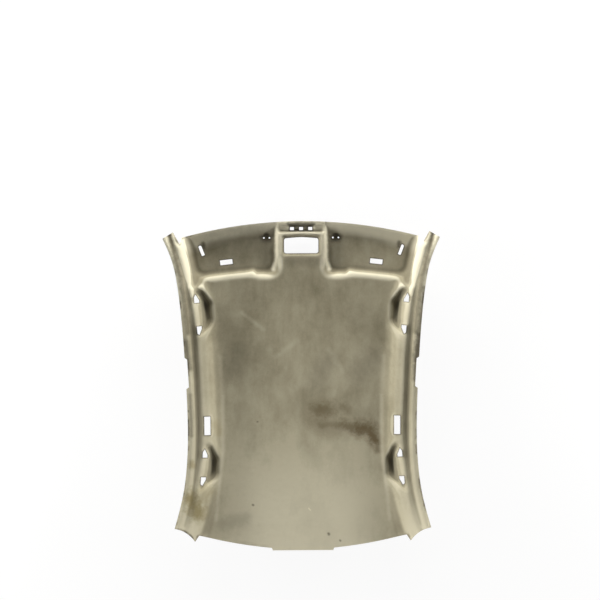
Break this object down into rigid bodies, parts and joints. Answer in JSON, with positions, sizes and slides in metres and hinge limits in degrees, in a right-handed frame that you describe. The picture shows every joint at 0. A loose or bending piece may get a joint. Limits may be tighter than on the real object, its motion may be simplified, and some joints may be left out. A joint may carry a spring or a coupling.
{
  "type": "car headliner panel",
  "caption": "Press-moulded roof lining panel of a family car, fabric side up, with sun visor recesses, console opening, lamp slots and grab handle pockets.",
  "frame": {"origin": "centre of the outline in plan, at the lowest point of the roof side, on which the panel lies", "axes": "+Z out of the lined face that the passengers see, +Y to the windscreen, X across the car"},
  "size_m": [1.2346, 1.476, 0.1783],
  "materials": {
    "lining": "matt brushed knit, soiled"
  },
  "bodies": {
    "root": {"headliner_panel": "lining"}
  },
  "joints": []
}
